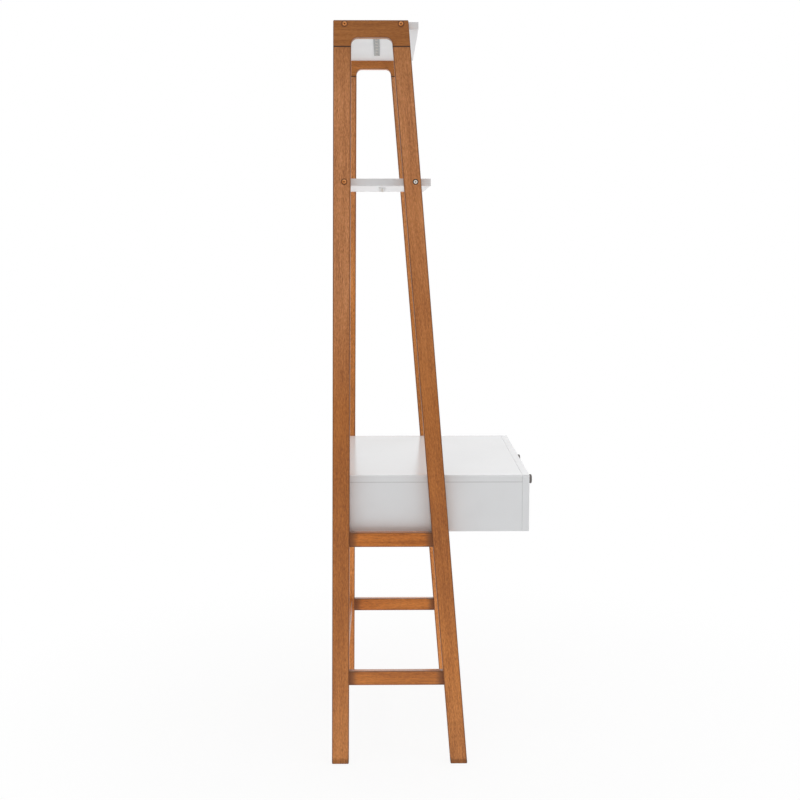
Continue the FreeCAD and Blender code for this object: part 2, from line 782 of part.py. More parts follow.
front_screw_places = []
knob_screw_places = []
knob_screw_length = size("drawer_side_thickness") + size("front_thickness") + size("knob_screw_grip")
for sign in (-1, 1):
    for across in (size("front_screw_inner"), drawer_inner - size("front_screw_inset")):
        spot = (across * sign, inner_front_face, drawer_middle)
        front_screw_places.append((spot, "-y"))
        drawer_bores.append(hole(spot, "-y", size("screw_radius"), size("front_screw_length")))
    spot = (size("knob_spread") * sign, inner_front_face, knob_level)
    knob_screw_places.append((spot, "-y"))
    drawer_bores.append(hole(spot, "-y", size("knob_screw_radius"), knob_screw_length))

gap = size("fit_gap")
groove_half = drawer_inner + size("groove_depth")
groove = doc.addObject("Part::Box", "drawer_groove")
bind(
    groove,
    Length=groove_half * 2 + gap * 2,
    Width=back_inner_face - inner_front_face + size("groove_depth") * 2 + gap * 2,
    Height=size("drawer_bottom_thickness") + gap * 2,
)
seat(groove, (-groove_half - gap, inner_front_face - size("groove_depth") - gap, floor_low - gap))
drawer_tool = joined("drawer_bores", drawer_bores + [groove])

rounded = size("drawer_edge_radius")
across_drawer = (-drawer_inner, drawer_inner)
drawer_depth = (front_rear_face, drawer_back)
drawer_levels = (drawer_low, drawer_top)
drawer_boards = [
    ("drawer_front", across_frames, (desk_face, front_rear_face), (box_underside, desk_top_level), eased),
    ("drawer_inner_front", across_drawer, (front_rear_face, inner_front_face), drawer_levels, rounded),
    ("drawer_back", across_drawer, (back_inner_face, drawer_back), drawer_levels, rounded),
    ("drawer_left_side", (-drawer_half, -drawer_inner), drawer_depth, drawer_levels, rounded),
    ("drawer_right_side", (drawer_inner, drawer_half), drawer_depth, drawer_levels, rounded),
]
for name, across, depth, levels, radius in drawer_boards:
    bored(name, board(name + "_blank", *zip(across, depth, levels), radius), drawer_tool)
node(board(
    "drawer_floor",
    (-groove_half, inner_front_face - size("groove_depth"), floor_low),
    (groove_half, back_inner_face + size("groove_depth"), floor_high),
), "drawer_floor")
gathered("drawer_dowels", drawer_pegs)
front_screw = screw("front_screw", size("screw_radius"), size("front_screw_length"))
copies("drawer_front_screws", front_screw, front_screw_places)
knob_screw = screw("knob_screw", size("knob_screw_radius"), knob_screw_length)
copies("knob_screws", knob_screw, knob_screw_places)

# Knobs

knob_neck = size("knob_reach") - size("knob_rim")
knob_bore = size("knob_screw_radius") + gap
knob_bore_end = size("knob_screw_grip") + gap
rim_length = 2 * math.pi * size("knob_radius").value


def knob_rim(edge):
    return edge.Closed and abs(edge.Length - rim_length) < NEAR


for side, sign, outward, inward in SIDES:
    name = side + "_knob"
    knob = turned(name, [
        (knob_bore, zero),
        (size("knob_foot_radius"), zero),
        (size("knob_foot_radius"), size("knob_foot_height")),
        (size("knob_stem_radius"), size("knob_foot_height")),
        (size("knob_stem_radius"), knob_neck),
        (size("knob_radius"), knob_neck),
        (size("knob_radius"), size("knob_reach")),
        (zero, size("knob_reach")),
        (zero, knob_bore_end),
        (knob_bore, knob_bore_end),
    ])
    ease(knob, knob_rim, size("knob_round"))
    knob.Placement = Placement(Vector(), TURNS["-y"])
    seat(knob, (size("knob_spread") * sign, desk_face, knob_level))
    node(knob, name)

# Drawer slides: three channels a side, one inside the other

metal = size("slide_metal")
run = size("slide_running_gap")
case_flange = size("slide_width") - size("slide_open_edge")
middle_start = metal + size("slide_web_gap")
drawer_start = middle_start + metal + size("slide_tip_gap")
middle_height = size("slide_height") - (metal + run) * 2
inner_height = middle_height - (metal + run) * 2


def channel(name, sign, start, end, height, web_at_box):
    """A steel channel that reaches from start to end, counted from the side of the box inwards."""
    low_x = start - case_inner if sign < 0 else case_inner - end
    shell = doc.addObject("Part::Box", name + "_shell")
    bind(shell, Length=end - start, Width=slide_length, Height=height)
    seat(shell, (low_x, slide_front, drawer_middle - height / 2))
    room = doc.addObject("Part::Box", name + "_room")
    bind(room, Length=end - start, Width=slide_length * 2, Height=height - metal * 2)
    room_x = low_x + metal if web_at_box == (sign < 0) else low_x - metal
    seat(room, (room_x, slide_front - slide_length / 2, drawer_middle - height / 2 + metal))
    cut = doc.addObject("Part::Cut", name)
    cut.Base = shell
    cut.Tool = room
    return cut


for side, sign, outward, inward in SIDES:
    tag = side + "_slide_"
    blank = channel(tag + "case_blank", sign, zero, case_flange, size("slide_height"), True)
    bored(tag + "case_channel", blank, case_tool)
    blank = channel(tag + "middle_blank", sign, middle_start, case_flange, middle_height, True)
    node(blank, tag + "middle_channel")
    blank = channel(tag + "drawer_blank", sign, drawer_start, size("slide_width"), inner_height, False)
    bored(tag + "drawer_channel", blank, drawer_tool)
copies("case_slide_screws", wood_screw, case_screw_places)
copies("drawer_slide_screws", wood_screw, drawer_screw_places)

# Nothing is written unless every piece is sound

doc.recompute()
for thing in doc.Objects:
    if {"Invalid", "Error"} & set(thing.State):
        raise RuntimeError(f"{thing.Label} did not build: {thing.State}")
for thing in NODES:
    if thing.Shape.isNull() or not thing.Shape.isValid() or not thing.Shape.Solids:
        raise RuntimeError(f"{thing.Label} has no sound solid")

os.makedirs("parts", exist_ok=True)
for thing in NODES:
    thing.Shape.exportStep(os.path.join("parts", thing.Label + ".step"))
print(f"{len(NODES)} sub-parts written")
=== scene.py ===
# %% [markdown]
# # Dressing a ladder desk
# This lesson takes a desk that was drawn as exact solids and gives it the looks of the real one.
# The desk has two tapered wooden side frames, white shelves and a white desk box with a wide drawer.
# The solids keep their places and shapes, so the work here is in finishes, light and camera.
# We could model every board again as a mesh, but the solids already have eased edges and real seams.

# %% Load the solids
import math

import bpy
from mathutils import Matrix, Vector


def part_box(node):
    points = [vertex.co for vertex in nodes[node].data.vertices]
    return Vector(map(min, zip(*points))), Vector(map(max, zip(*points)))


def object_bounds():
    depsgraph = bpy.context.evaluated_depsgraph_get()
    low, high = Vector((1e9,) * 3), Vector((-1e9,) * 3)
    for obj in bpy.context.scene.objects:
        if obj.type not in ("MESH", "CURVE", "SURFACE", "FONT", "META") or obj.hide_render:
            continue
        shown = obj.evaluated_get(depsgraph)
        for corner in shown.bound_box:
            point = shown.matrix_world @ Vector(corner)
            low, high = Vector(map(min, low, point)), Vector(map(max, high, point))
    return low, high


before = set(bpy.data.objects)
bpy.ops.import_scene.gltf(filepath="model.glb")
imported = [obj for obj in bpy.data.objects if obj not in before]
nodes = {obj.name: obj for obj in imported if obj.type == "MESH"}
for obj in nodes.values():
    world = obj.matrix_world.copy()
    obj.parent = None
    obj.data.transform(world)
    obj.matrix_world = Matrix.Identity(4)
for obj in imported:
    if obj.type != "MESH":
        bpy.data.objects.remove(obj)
cad_low, cad_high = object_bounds()
print("solids:", len(nodes), "box:", [round(high - low, 3) for low, high in zip(cad_low, cad_high)])

# %% [markdown]
# ## A way to write finishes
# A finish in Blender is a graph of nodes, and a graph is slow to read when it is built link by link.
# One small class wraps the output of a node and takes over the arithmetic signs.
# An expression such as `1 - mask` then leaves a Math node behind, and it reads like the sum it stands for.

# %% Wires that can be added up


class Wire:
    """The output of a node. Sums on wires become Math nodes."""

    def __init__(self, finish, socket):
        self.finish = finish
        self.socket = socket

    def sum(self, operation, first, second):
        return self.finish.node("ShaderNodeMath", {"operation": operation}, {0: first, 1: second})

    def __add__(self, other):
        return self.sum("ADD", self, other)

    def __radd__(self, other):
        return self.sum("ADD", other, self)

    def __sub__(self, other):
        return self.sum("SUBTRACT", self, other)

    def __rsub__(self, other):
        return self.sum("SUBTRACT", other, self)

    def __mul__(self, other):
        return self.sum("MULTIPLY", self, other)

    def __rmul__(self, other):
        return self.sum("MULTIPLY", other, self)

    def __pow__(self, other):
        return self.sum("POWER", self, other)

    def __abs__(self):
        return self.sum("ABSOLUTE", self, 0.0)


print("wires can be added up")

# %% [markdown]
# Every other kind of node comes from a single method that takes its type, its settings and its sockets.
# The short methods under it name the few nodes that the finishes of this desk use again and again.
# Blender's own calls would do the same, but each recipe further on would then be three times as long.

# %% Finishes made of nodes


class Finish:
    """A material whose nodes are added one at a time."""

    def __init__(self, name):
        self.material = bpy.data.materials.new(name)
        self.material.use_nodes = True
        self.tree = self.material.node_tree
        self.shader = self.tree.nodes["Principled BSDF"]

    def plug(self, socket, value):
        if isinstance(value, Wire):
            self.tree.links.new(value.socket, socket)
        else:
            socket.default_value = value

    def node(self, kind, settings=None, sockets=None, out=0):
        """Add a node, set it up, fill its sockets with values or wires and hand back one output."""
        made = self.tree.nodes.new(kind)
        for name, value in (settings or {}).items():
            if name == "stops":
                ramp = made.color_ramp.elements
                while len(ramp) < len(value):
                    ramp.new(1.0)
                while len(ramp) > len(value):
                    ramp.remove(ramp[-1])
                for element, (place, colour) in zip(ramp, value):
                    element.position = place
                    element.color = (*colour, 1.0)
            else:
                setattr(made, name, value)
        for name, value in (sockets or {}).items():
            self.plug(made.inputs[name], value)
        return Wire(self, made.outputs[out])

    def set(self, **sockets):
        """Fill sockets of the shader; an underscore in a name stands for a space."""
        for name, value in sockets.items():
            self.plug(self.shader.inputs[name.replace("_", " ")], value)

    def spot(self):
        """Where a point is on the piece, in metres."""
        return self.node("ShaderNodeTexCoord", out="Object")

    def part(self, vector, axis):
        """One of the three numbers of a vector."""
        return self.node("ShaderNodeSeparateXYZ", None, {"Vector": vector}, out=axis)

    def facing(self, axis):
        """How far the surface looks along an axis, from minus one to one."""
        return self.part(self.node("ShaderNodeTexCoord", out="Normal"), axis)

    def noise(self, where, scale, detail=2.0, roughness=0.5, distortion=0.0):
        return self.node("ShaderNodeTexNoise", None, {
            "Vector": where, "Scale": scale, "Detail": detail, "Roughness": roughness,
            "Distortion": distortion,
        })

    def stretched(self, where, factors):
        return self.node("ShaderNodeVectorMath", {"operation": "MULTIPLY"}, {0: where, 1: factors})

    def rise(self, value, low, high):
        """A smooth step from 0 at low to 1 at high."""
        return self.node("ShaderNodeMapRange", {"interpolation_type": "SMOOTHSTEP"}, {
            "Value": value, "From Min": low, "From Max": high,
        })

    def ramp(self, value, stops):
        """Colours that follow a value; each stop is a place and a colour."""
        return self.node("ShaderNodeValToRGB", {"stops": stops}, {"Fac": value})

    def mix(self, share, first, second, blend="MIX"):
        """A colour between two others, or another blend of them."""
        settings = {"data_type": "RGBA", "blend_type": blend}
        return self.node("ShaderNodeMix", settings, {0: share, 6: first, 7: second}, out=2)

    def bump(self, height, strength, distance):
        return self.node("ShaderNodeBump", None, {
            "Height": height, "Strength": strength, "Distance": distance,
        })


def paint(finish, *names):
    """Give the finish to some of the solids."""
    for name in names:
        slots = nodes[name].data.materials
        slots.clear()
        slots.append(finish.material)


print("finishes are ready to be written")

# %% [markdown]
# ## The stained wood of the frames
# The frames are hardwood with a warm brown stain under a satin lacquer.
# Wood is told apart by its direction: long streaks, fine fibres and short dark pores all run along the grain.
# Each leg leans its own way, so each piece gets a finish whose grain is turned to run along that piece.
# A picture of wood would be quicker, but it would repeat, and it would smear on the eased edges.

# %% Find the grain of a piece

AXES = {"X": Vector((1, 0, 0)), "Y": Vector((0, 1, 0)), "Z": Vector((0, 0, 1))}
END_SLICE = 0.004


def leg_end(name, pick):
    """The middle of a leg's lowest or highest end, as pick is min or max, and half of its width there."""
    points = [vertex.co for vertex in nodes[name].data.vertices]
    level = pick(point.z for point in points)
    ring = [point.y for point in points if abs(point.z - level) < END_SLICE]
    return Vector((0.0, (min(ring) + max(ring)) / 2, level)), (max(ring) - min(ring)) / 2


def grain_turn(name, axis):
    """The turn and the shift that lay a piece's grain along Z, with its middle on the Z axis."""
    low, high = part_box(name)
    start = (low + high) / 2
    along = AXES[axis]
    if axis == "Z":
        foot = leg_end(name, min)[0]
        top = leg_end(name, max)[0]
        start = Vector((start.x, foot.y, foot.z))
        along = top - foot
    turn = along.rotation_difference(AXES["Z"])
    return turn.to_euler(), -(turn @ start)


def half_sizes(name, axis):
    """Half of a piece's two sizes across the grain, in the order in which its turn lays them on X and Y."""
    low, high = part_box(name)
    half = (high - low) / 2
    if axis == "X":
        return half.z, half.y
    if axis == "Y":
        return half.x, half.z
    return half.x, leg_end(name, min)[1]


for sample in ("left_rear_leg", "left_front_leg"):
    turn, shift = grain_turn(sample, "Z")
    halves = [round(half, 4) for half in half_sizes(sample, "Z")]
    print(sample, "leans", round(math.degrees(turn.x), 2), "degrees, half sizes", halves)

# %% [markdown]
# The stain is built in layers, as a finisher would see them: broad bands from the growth rings, fibres,
# cloudy patches where the stain took more or less, a fine mottle, and flecks whose darkest parts are pores.
# Each layer is a noise whose coordinates are squeezed along the grain, which draws its spots into streaks.
# A wave texture gives bands too, but they come out as even as the rings of a target.

# %% Lay the grain

SEED_STEPS = (1.0, 1.7, 3.1)
# Each layer: the squeeze along the grain, then scale, detail, roughness and distortion of its noise.
LAYERS = {
    "bands": (0.030, 95.0, 3.0, 0.55, 0.4),
    "fibres": (0.025, 640.0, 2.0, 0.60, 0.0),
    "clouds": (0.300, 22.0, 2.0, 0.50, 0.0),
    "mottle": (0.330, 350.0, 2.0, 0.60, 0.0),
    "flecks": (0.050, 1150.0, 1.0, 0.40, 0.0),
}


def squeezed(axis, share):
    """Factors that squeeze a noise along one axis."""
    return [share if name == axis else 1.0 for name in AXES]


def grain_layers(wood, straight, seed):
    """The layers of one piece, whose seed moves it to a part of the noise that no other piece shows."""
    away = [seed * step for step in SEED_STEPS]
    moved = wood.node("ShaderNodeVectorMath", {"operation": "ADD"}, {0: straight, 1: away})
    return {
        layer: wood.noise(wood.stretched(moved, squeezed("Z", squeeze)), *recipe)
        for layer, (squeeze, *recipe) in LAYERS.items()
    }


print("layers of the grain:", list(LAYERS))

# %% [markdown]
# Painted shade darkens the eased edges and the rims of a face, which turn away from the light, and the
# shoulders of a rail, where the legs shade it; a painted shadow rings the bolts, and the foot of a leg is
# darker towards the floor.
# Each such place is a mask between nought and one that is worked out from the piece itself.
# Masks could also be painted by hand, but they would have to be painted again for every change of size.

# %% Paint shade on edges, rims, shoulders and bolts, and darken the feet

RIM_WIDTH = 0.0050
RIM_SHADE = 0.65
SHOULDER_START = 0.030
SHOULDER_END = 0.004
SHOULDER_SHADE = 0.75
FOOT_DARK = 0.014
FOOT_PALE = 0.042
FOOT_RAGGED = 0.03
FOOT_DARKENING = 0.30


def edge_shade(wood, flat):
    """Painted shade on an eased edge: one in the middle of the edge, and nought on the faces beside it."""
    square_on = wood.facing(flat) ** 2.0
    return square_on * (1.0 - square_on) * 4.0


def rim_shade(wood, straight, halves):
    """Painted shade along the rims of a piece, from its half sizes across the grain."""
    first, second = [
        wood.rise(abs(wood.part(straight, axis)), half - RIM_WIDTH, half) for axis, half in zip("XY", halves)
    ]
    return first * second * RIM_SHADE


def shoulder_shade(wood, straight, name):
    """Painted shade on both ends of a rail that runs from front to back, where the legs shade it."""
    low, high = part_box(name)
    half = (high.y - low.y) / 2
    reach = abs(wood.part(straight, "Z"))
    return wood.rise(reach, half - SHOULDER_START, half - SHOULDER_END) * SHOULDER_SHADE


def foot_darkening(wood, height, clouds):
    """Darker towards the foot of a leg, up to a ragged line."""
    return (1.0 - wood.rise(height + clouds * FOOT_RAGGED, FOOT_DARK, FOOT_PALE)) * FOOT_DARKENING


print("rims are", round(RIM_WIDTH * 1000, 1), "mm wide")

# %% [markdown]
# The copper-toned bolts sit in recesses, and a painted shadow rings each head on the wood.
# The rings need the bolts' places. We could type them in, but they can be read from the bolts themselves:
# vertices that lie close together belong to the same bolt.

# %% Find the bolts

BOLT_REACH = 0.03
RING_INNER = 0.0068
RING_OUTER = 0.0100
RING_SHADOW = 0.80


def bolt_places(name):
    """The middles of the bolts in a piece, each as its place along Y and its height."""
    bolts = []
    for vertex in nodes[name].data.vertices:
        near = [bolt for bolt in bolts if (vertex.co.yz - bolt[0]).length < BOLT_REACH]
        if near:
            near[0].append(vertex.co.yz)
        else:
            bolts.append([vertex.co.yz])
    return [[(min(axis) + max(axis)) / 2 for axis in zip(*bolt)] for bolt in bolts]


def from_bolt(wood, spot, place):
    """How far a point lies from the axis of a bolt."""
    back, level = place
    return ((wood.part(spot, "Y") - back) ** 2.0 + (wood.part(spot, "Z") - level) ** 2.0) ** 0.5


# A painted shadow round a bolt head, on the wood.
def ring_shadow(wood, spot, place):
    return (1.0 - wood.rise(from_bolt(wood, spot, place), RING_INNER, RING_OUTER)) * RING_SHADOW


copper_bolts = bolt_places("shelf_bolts")
low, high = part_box("plain_shelf_bolt")
bare_place = ((low + high) / 2).yz
print("copper bolts on a side:", [[round(part, 3) for part in bolt] for bolt in copper_bolts])

# %% [markdown]
# A satin lacquer goes over the stain.
# The layers of the grain drive its gloss and a very low relief, so that a pore is also dull and sunk.
# Faces that look up have a coat of lacquer more, and they catch the white of the room.
# An even gloss would be simpler, but the wood would then seem to lie under glass.

# %% Lacquer the wood

SATIN = 0.31
PORES_DULL = 0.22
CLOUDS_DULL = 0.10
FIBRES_RISE = 0.35
PORES_SINK = 0.65
COAT_START = 0.3
COAT_FULL = 0.8


def satin_lacquer(wood, colour, layers, pores):
    """Lacquer over wood of some colour, from the layers of its grain."""
    relief = layers["fibres"] * FIBRES_RISE - pores * PORES_SINK
    wood.set(
        Base_Color=colour,
        Roughness=SATIN + pores * PORES_DULL + layers["clouds"] * CLOUDS_DULL,
        Normal=wood.bump(relief, strength=0.22, distance=0.0004),
        IOR=1.39,
        Coat_Weight=wood.rise(wood.facing("Z"), COAT_START, COAT_FULL),
        Coat_Roughness=0.18,
        Coat_IOR=1.65,
    )


print("roughness of the lacquer:", SATIN)

# %% [markdown]
# One function now stains a piece.
# The layers pick a colour between deep brown and amber.
# A tint by height follows: painted shade makes the legs darker beside the desk box, where it shades them, and
# painted light makes them paler at the foot, where the floor throws light back; above the box they are pale,
# and darker just below the arch.
# Then the pores and the gathered stain are laid over it.
# The seam between leg and arch is a dark joint, and the recess of the one bolt without a copper head gets
# painted shade.
# One finish for all pieces would be shorter, but then the arch would show the upright grain of a leg.

# %% Mix the stain

DEEP = (0.370, 0.137, 0.049)
BROWN = (0.560, 0.229, 0.088)
AMBER = (0.717, 0.320, 0.146)
STAIN_STEPS = (0.39, 0.50, 0.61)
PORE = (0.150, 0.050, 0.014, 1.0)
PORE_START = 0.56
PORE_FULL = 0.72
PORE_STAIN = 0.55
EDGE = (0.170, 0.058, 0.016, 1.0)
JOINT_AND_SHADE = (0.012, 0.008, 0.006, 1.0)
SEAM_INNER = 0.0006
SEAM_OUTER = 0.0017
RECESS_INNER = 0.0066
RECESS_OUTER = 0.0076
EDGE_SHADE = 0.40
BANDED = 0.48
CLOUDED = 0.16
LEG_MOTTLE = 0.38
RAIL_MOTTLE = 0.24
FRAME_TOP = cad_high[2]


def stained_wood(name, grain, flat, tones, seed, painted_light=1.0, edges=EDGE_SHADE, mottled=RAIL_MOTTLE,
                 shoulders=False, foot=False, seam=None, bare_bolt=False):
    """Stained wood whose grain follows one piece; its broad faces look along the flat axis.

    The tones tint the stain by height, as shares of the frames' height; on the near legs they are painted
    shade beside the desk box and painted light at the foot, and arches and rails get one tint each. The
    painted_light factor brightens the stain of the far frame, where less light reaches it.
    The seam is the height of a joint, and bare_bolt marks the leg that holds the plain zinc bolt.
    """
    wood = Finish("wood_" + name)
    turn, shift = grain_turn(name, grain)
    spot = wood.spot()
    height = wood.part(spot, "Z")
    straight = wood.node("ShaderNodeMapping", None, {"Vector": spot, "Location": shift, "Rotation": turn})
    layers = grain_layers(wood, straight, seed)
    pores = wood.rise(layers["flecks"], PORE_START, PORE_FULL)

    streaks = layers["bands"] * BANDED + layers["fibres"] * (1.0 - BANDED)
    patches = layers["clouds"] * CLOUDED + layers["mottle"] * mottled
    depth = patches + streaks * (1.0 - CLOUDED - mottled)
    # Painted light: the palette is brightened for the far frame.
    palette = [tuple(part * painted_light for part in stain) for stain in (DEEP, BROWN, AMBER)]
    colour = wood.ramp(depth, list(zip(STAIN_STEPS, palette)))
    # Painted shade and painted light by height on the legs, from the tones.
    painted_light_and_shade = wood.ramp(height * (1.0 / FRAME_TOP), tones)
    colour = wood.mix(1.0, colour, painted_light_and_shade, "MULTIPLY")
    colour = wood.mix(pores * PORE_STAIN, colour, PORE)

    # The stain mask below sums painted shade on edges, rims and shoulders, painted shadow round the bolts,
    # and the darker foot.
    stain = edge_shade(wood, flat) * edges + rim_shade(wood, straight, half_sizes(name, grain))
    if shoulders:
        stain = stain + shoulder_shade(wood, straight, name)
    if foot:
        stain = stain + foot_darkening(wood, height, layers["clouds"])
    low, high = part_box(name)
    # Painted shadow rings round the copper bolt heads.
    for back, level in copper_bolts:
        if low.y < back < high.y and low.z < level < high.z and not bare_bolt:
            stain = stain + ring_shadow(wood, spot, (back, level))
    # Painted shade: the mask darkens the wood toward the EDGE brown.
    colour = wood.mix(wood.rise(stain, 0.0, 1.0), colour, EDGE)
    if seam:
        colour = wood.mix(1.0 - wood.rise(abs(height - seam), SEAM_INNER, SEAM_OUTER), colour, JOINT_AND_SHADE)
    # Painted shade in the recess round the plain zinc bolt.
    if bare_bolt:
        recess = wood.rise(from_bolt(wood, spot, bare_place), RECESS_INNER, RECESS_OUTER)
        colour = wood.mix(1.0 - recess, colour, JOINT_AND_SHADE)

    satin_lacquer(wood, colour, layers, pores)
    paint(wood, name)


print("stains:", {"deep": DEEP, "brown": BROWN, "amber": AMBER})

# %% [markdown]
# Legs, arches and rails differ in their direction, their mottle and their tints.
# The far frame shows its inner faces, which look a little brighter, so each side has its own painted light: a
# factor that brightens the far frame's stain where less light reaches it.
# A loop over both sides keeps the two frames alike, and a seed for each piece keeps its figure its own.

# %% Stain the frames

SIDES = ("left", "right")
ARCH_EDGE_SHADE = 0.80
FOOT_BOUNCE_TINT = (0.96, 0.88, 0.58)
LOW_BOUNCE_TINT = (0.98, 0.82, 0.40)
SHADED = (0.75, 0.59, 0.28)
PALE = (0.98, 0.96, 0.90)
DIM = (0.75, 0.70, 0.55)
WARM = (1.00, 0.87, 0.53)
# Painted light at the foot, painted shade beside the desk box, pale above it and darker just below the arch;
# the far legs have no painted shade.
REAR_TONES = [(0.00, FOOT_BOUNCE_TINT), (0.18, SHADED), (0.49, SHADED), (0.65, PALE), (0.90, PALE), (0.97, DIM)]
FRONT_TONES = [(0.00, FOOT_BOUNCE_TINT), (0.14, LOW_BOUNCE_TINT), (0.24, SHADED), (0.50, SHADED), (0.90, PALE), (0.97, DIM)]
FAR_TONES = [(0.60, WARM), (0.95, PALE)]
ARCH_TONES = [(0.0, (0.62, 0.53, 0.30))]
DESK_RAIL_TONES = [(0.0, (0.98, 0.72, 0.24))]
FOOT_RAIL_TONES = [(0.0, (0.90, 0.70, 0.29))]
# Painted light for each side, near and far: the far frame's stain is brightened.
LEG_PAINTED_LIGHT = (1.0, 1.20)
ARCH_PAINTED_LIGHT = (1.0, 1.60)
RAIL_PAINTED_LIGHT = (1.0, 1.16)

for number, side in enumerate(SIDES):
    near = side == "left"
    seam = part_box(side + "_rear_leg")[1].z
    leg = {"painted_light": LEG_PAINTED_LIGHT[number], "mottled": LEG_MOTTLE, "foot": True, "seam": seam}
    arch = {"painted_light": ARCH_PAINTED_LIGHT[number], "edges": ARCH_EDGE_SHADE, "seam": seam}
    rail = {"painted_light": RAIL_PAINTED_LIGHT[number], "shoulders": True}
    rear_tones, front_tones = (REAR_TONES, FRONT_TONES) if near else (FAR_TONES, FAR_TONES)
    stained_wood(side + "_rear_leg", "Z", "X", rear_tones, seed=0.31 + number, **leg)
    stained_wood(side + "_front_leg", "Z", "X", front_tones, seed=0.77 + number, bare_bolt=near, **leg)
    stained_wood(side + "_top_arch", "Y", "X", ARCH_TONES, seed=0.53 + number, **arch)
    stained_wood(side + "_desk_rail", "Y", "X", DESK_RAIL_TONES, seed=0.12 + number, **rail)
    stained_wood(side + "_foot_rail", "Y", "X", FOOT_RAIL_TONES, seed=0.95 + number, **rail)
stained_wood("rear_stretcher", "X", "Y", FOOT_RAIL_TONES, seed=2.4)
print("stained wood:", sum(name.startswith("wood_") for name in bpy.data.materials.keys()), "pieces")

# %% [markdown]
# ## White lacquer
# Shelves, desk box and drawer front are boards under sprayed white lacquer with a soft gloss.
# Sprayed lacquer is never quite flat: it keeps a very fine orange peel, and hands leave its gloss uneven.
# Both are faint, so they go into the roughness and a shallow bump and hardly touch the colour.
# The undersides got one thin coat and no polish, so faces that look down are matt.
# The lacquer does not bridge the joint under the desk top, and a thin grey line of painted shade is drawn
# along it.
# An even white would do from across a room, but close up it would look like plastic.

# %% Spray the boards

WHITE = (0.800, 0.810, 0.820, 1.0)
HAZED_WHITE = (0.765, 0.774, 0.784, 1.0)
JOINT_SHADE = (0.590, 0.596, 0.600, 1.0)
JOINT_INNER = 0.0006
JOINT_OUTER = 0.0012
POLISHED = 0.15
HAZE_DULLS = 0.10
MATT = 0.32


def white_lacquer(name, joint=None):
    """Sprayed lacquer; joint is the height of a joint, drawn as a thin line of painted shade."""
    lacquer = Finish(name)
    where = lacquer.spot()
    peel = lacquer.noise(where, scale=420.0)
    haze = lacquer.noise(where, scale=6.0, detail=3.0, roughness=0.55)
    underside = 1.0 - lacquer.rise(lacquer.facing("Z"), low=-0.9, high=-0.5)
    colour = lacquer.mix(lacquer.rise(haze, low=0.35, high=0.75), WHITE, HAZED_WHITE)
    # Painted shade along the joint under the desk top.
    if joint:
        from_joint = abs(lacquer.part(where, "Z") - joint)
        colour = lacquer.mix(1.0 - lacquer.rise(from_joint, JOINT_INNER, JOINT_OUTER), colour, JOINT_SHADE)
    lacquer.set(
        Base_Color=colour,
        Roughness=POLISHED + haze * HAZE_DULLS + underside * MATT,
        Normal=lacquer.bump(peel, strength=0.05, distance=0.0003),
        IOR=1.38,
    )
    return lacquer


WHOLE_BOARDS = ("top_shelf", "middle_shelf", "drawer_front", "desk_bottom")
JOINED_BOARDS = ("desk_top", "desk_left_side", "desk_right_side", "desk_back")
paint(white_lacquer("white_lacquer"), *WHOLE_BOARDS)
paint(white_lacquer("desk_lacquer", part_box("desk_top")[0].z), *JOINED_BOARDS)
print("white boards:", len(WHOLE_BOARDS) + len(JOINED_BOARDS))

# %% [markdown]
# ## Inside the drawer
# The drawer box is birch plywood, which shows only when the drawer is open.
# Plywood is told apart by its edge, where thin plies lie crosswise to each other.
# Stripes could be laid on each edge as a material of its own.
# It is simpler to draw the plies from the depth in the board alone.
# On a broad face that depth never changes, so the stripes come out on the edges by themselves.

# %% Lay up the plywood

BIRCH = (0.740, 0.580, 0.385, 1.0)
BIRCH_DARK = (0.560, 0.390, 0.215, 1.0)
GLUE_LINE = (0.330, 0.200, 0.100, 1.0)
BIRCH_SQUEEZE = 0.04
FIGURED = 0.65
PLY = 0.0024
CROSS_START = 0.55
CROSS_FULL = 0.75
GLUE_SHOWS = 0.65
PLIES_SINK = 0.5
SANDED = 0.52
FIGURE_DULLS = 0.14


def plywood(name, thick, grain):
    """Birch plywood, with its plies stacked along one axis and the grain of its faces along another."""
    ply = Finish("plywood_" + name)
    where = ply.spot()
    streaky = ply.stretched(where, squeezed(grain, BIRCH_SQUEEZE))
    figure = ply.noise(streaky, scale=70.0, detail=3.0, roughness=0.55, distortion=0.4)
    fibres = ply.noise(streaky, scale=520.0, detail=1.0)
    light = figure * FIGURED + fibres * (1.0 - FIGURED)
    face = ply.mix(ply.rise(light, low=0.34, high=0.62), BIRCH_DARK, BIRCH)
    low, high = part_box(name)
    depth = ply.part(where, thick) - low.dot(AXES[thick])
    layer = ply.node("ShaderNodeMath", {"operation": "PINGPONG"}, {0: depth, 1: PLY})
    crosswise = ply.rise(layer, PLY * CROSS_START, PLY * CROSS_FULL)
    ply.set(
        Base_Color=ply.mix(crosswise * GLUE_SHOWS, face, GLUE_LINE),
        Roughness=SANDED + figure * FIGURE_DULLS,
        Normal=ply.bump(fibres - crosswise * PLIES_SINK, strength=0.15, distance=0.0003),
    )
    paint(ply, name)


plywood("drawer_left_side", "X", "Y")
plywood("drawer_right_side", "X", "Y")
plywood("drawer_inner_front", "Y", "X")
plywood("drawer_back", "Y", "X")
plywood("drawer_floor", "Z", "X")
print("plywood boards:", sum(name.startswith("plywood_") for name in bpy.data.materials.keys()))

# %% [markdown]
# ## Metal
# Each metal part has its own finish: copper-toned bolt heads, one plain zinc bolt, zinc-plated slides and
# screws, grey steel bars under the shelves, brass inserts and dark bronze knobs.
# Bare metal is all reflection, so its colour sits in the base colour with Metallic at one, and its character
# in the roughness: drawn steel has lines along its length, plating has a cloudy sheen.
# A single shiny grey would be quicker, but then bars, slides and bolts could not be told apart.

# %% Write the recipe for metal

COPPER_PAINTED_HIGHLIGHT = (0.86, 0.46, 0.21, 1.0)
COPPER_PAINTED_SHADE = (0.15, 0.050, 0.016, 1.0)
SOCKET_START = 0.0007
SOCKET_DEEP = 0.0014
SOCKET_SHADE = 0.30
SHADING_START = 0.10
SHADING_FULL = 0.75
SHEEN_DULLS = 0.12
LINES_DULL = 0.08


